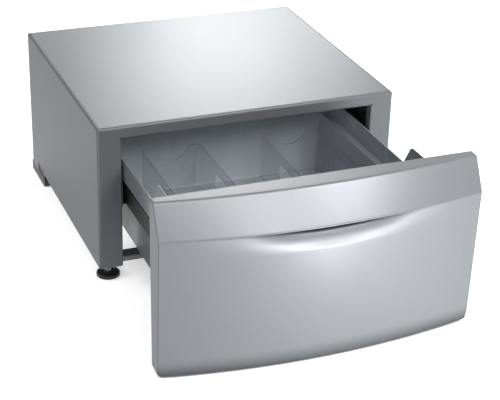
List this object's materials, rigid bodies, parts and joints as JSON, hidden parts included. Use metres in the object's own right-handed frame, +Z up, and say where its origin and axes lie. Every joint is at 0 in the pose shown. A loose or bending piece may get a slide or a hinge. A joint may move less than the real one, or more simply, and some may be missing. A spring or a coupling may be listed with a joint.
{
  "type": "washer pedestal drawer",
  "caption": "Low sheet-metal laundry pedestal on levelling feet, with a bowed drawer front, a moulded drawer on telescopic slides and clear dividers.",
  "frame": {"origin": "on the floor, at the middle of the object's box with the drawer open as in the picture", "axes": "+X to the right seen from the front, +Y from the drawer front to the cabinet's back, +Z up"},
  "size_m": [0.686, 1.0748, 0.376],
  "materials": {
    "cabinet_paint": "fine metallic silver paint",
    "rear_sheet": "plain coated steel",
    "frame_steel": "zinc-coated steel",
    "slide_black": "black coated steel",
    "cage_steel": "bright rolled steel with polished balls",
    "zinc": "zinc plate",
    "foot_black": "fine moulded grain",
    "tub_plastic": "smooth moulded plastic",
    "ear_paint": "satin paint",
    "front_paint": "fine metallic silver paint, satin",
    "bumper_rubber": "matt rubber",
    "clear_plastic": "clear, glossy"
  },
  "bodies": {
    "cabinet": {"left_side_panel": "cabinet_paint", "right_side_panel": "cabinet_paint", "front_top_rail": "cabinet_paint", "top_panel": "cabinet_paint", "rear_panel": "rear_sheet", "front_bottom_rail": "frame_steel", "rear_bottom_rail": "frame_steel", "deck_shelf_left": "frame_steel", "deck_shelf_right": "frame_steel", "deck_beam_front": "frame_steel", "deck_beam_middle": "frame_steel", "deck_beam_rear": "frame_steel", "slide_bracket_left": "frame_steel", "slide_bracket_right": "frame_steel", "slide_outer_left": "slide_black", "slide_outer_right": "slide_black", "foot_bracket_left": "frame_steel", "foot_bracket_right": "frame_steel", "foot_weld_nuts": "zinc", "foot_lock_nuts": "zinc", "rear_foot_left": "foot_black", "rear_foot_right": "foot_black", "bracket_nuts": "zinc", "slide_rivets": "zinc", "rear_panel_screws": "zinc"},
    "drawer": {"drawer_tub": "tub_plastic", "drawer_front": "front_paint", "front_backing_plate": "frame_steel", "ear_bracket_left": "ear_paint", "ear_bracket_right": "ear_paint", "slide_inner_left": "slide_black", "slide_inner_right": "slide_black", "slide_screws": "zinc", "front_screws": "zinc", "front_bumpers": "bumper_rubber"},
    "slide_middle_left_body": {"slide_middle_left": "slide_black"},
    "slide_middle_right_body": {"slide_middle_right": "slide_black"},
    "outer_cage_left_body": {"outer_ball_cage_left": "cage_steel"},
    "outer_cage_right_body": {"outer_ball_cage_right": "cage_steel"},
    "inner_cage_left_body": {"inner_ball_cage_left": "cage_steel"},
    "inner_cage_right_body": {"inner_ball_cage_right": "cage_steel"},
    "foot_left_body": {"levelling_stud_left": "zinc", "foot_pad_left": "foot_black"},
    "foot_right_body": {"levelling_stud_right": "zinc", "foot_pad_right": "foot_black"},
    "divider_left_body": {"divider_left": "clear_plastic"},
    "divider_right_body": {"divider_right": "clear_plastic"}
  },
  "joints": [
    {"name": "drawer_slide", "type": "slide", "parent": "cabinet", "child": "drawer", "axis": [0, -1, 0], "range_m": [-0.355, 0.145]},
    {"name": "middle_slide_left", "type": "slide", "parent": "cabinet", "child": "slide_middle_left_body", "axis": [0, -1, 0], "range_m": [-0.1775, 0.0725]},
    {"name": "outer_cage_slide_left", "type": "slide", "parent": "cabinet", "child": "outer_cage_left_body", "axis": [0, -1, 0], "range_m": [-0.08875, 0.03625]},
    {"name": "inner_cage_slide_left", "type": "slide", "parent": "cabinet", "child": "inner_cage_left_body", "axis": [0, -1, 0], "range_m": [-0.26625, 0.10875]},
    {"name": "middle_slide_right", "type": "slide", "parent": "cabinet", "child": "slide_middle_right_body", "axis": [0, -1, 0], "range_m": [-0.1775, 0.0725]},
    {"name": "outer_cage_slide_right", "type": "slide", "parent": "cabinet", "child": "outer_cage_right_body", "axis": [0, -1, 0], "range_m": [-0.08875, 0.03625]},
    {"name": "inner_cage_slide_right", "type": "slide", "parent": "cabinet", "child": "inner_cage_right_body", "axis": [0, -1, 0], "range_m": [-0.26625, 0.10875]},
    {"name": "levelling_left", "type": "slide", "parent": "cabinet", "child": "foot_left_body", "axis": [0, 0, -1], "range_m": [-0.012, 0.025]},
    {"name": "levelling_right", "type": "slide", "parent": "cabinet", "child": "foot_right_body", "axis": [0, 0, -1], "range_m": [-0.012, 0.025]},
    {"name": "divider_slide_left", "type": "slide", "parent": "drawer", "child": "divider_left_body", "axis": [1, 0, 0], "range_m": [-0.08, 0.075]},
    {"name": "divider_slide_right", "type": "slide", "parent": "drawer", "child": "divider_right_body", "axis": [1, 0, 0], "range_m": [-0.075, 0.002]}
  ],
  "couplings": [
    {"joint": "middle_slide_left", "follows": "drawer_slide", "ratio": 0.5},
    {"joint": "outer_cage_slide_left", "follows": "drawer_slide", "ratio": 0.25},
    {"joint": "inner_cage_slide_left", "follows": "drawer_slide", "ratio": 0.75},
    {"joint": "middle_slide_right", "follows": "drawer_slide", "ratio": 0.5},
    {"joint": "outer_cage_slide_right", "follows": "drawer_slide", "ratio": 0.25},
    {"joint": "inner_cage_slide_right", "follows": "drawer_slide", "ratio": 0.75}
  ]
}
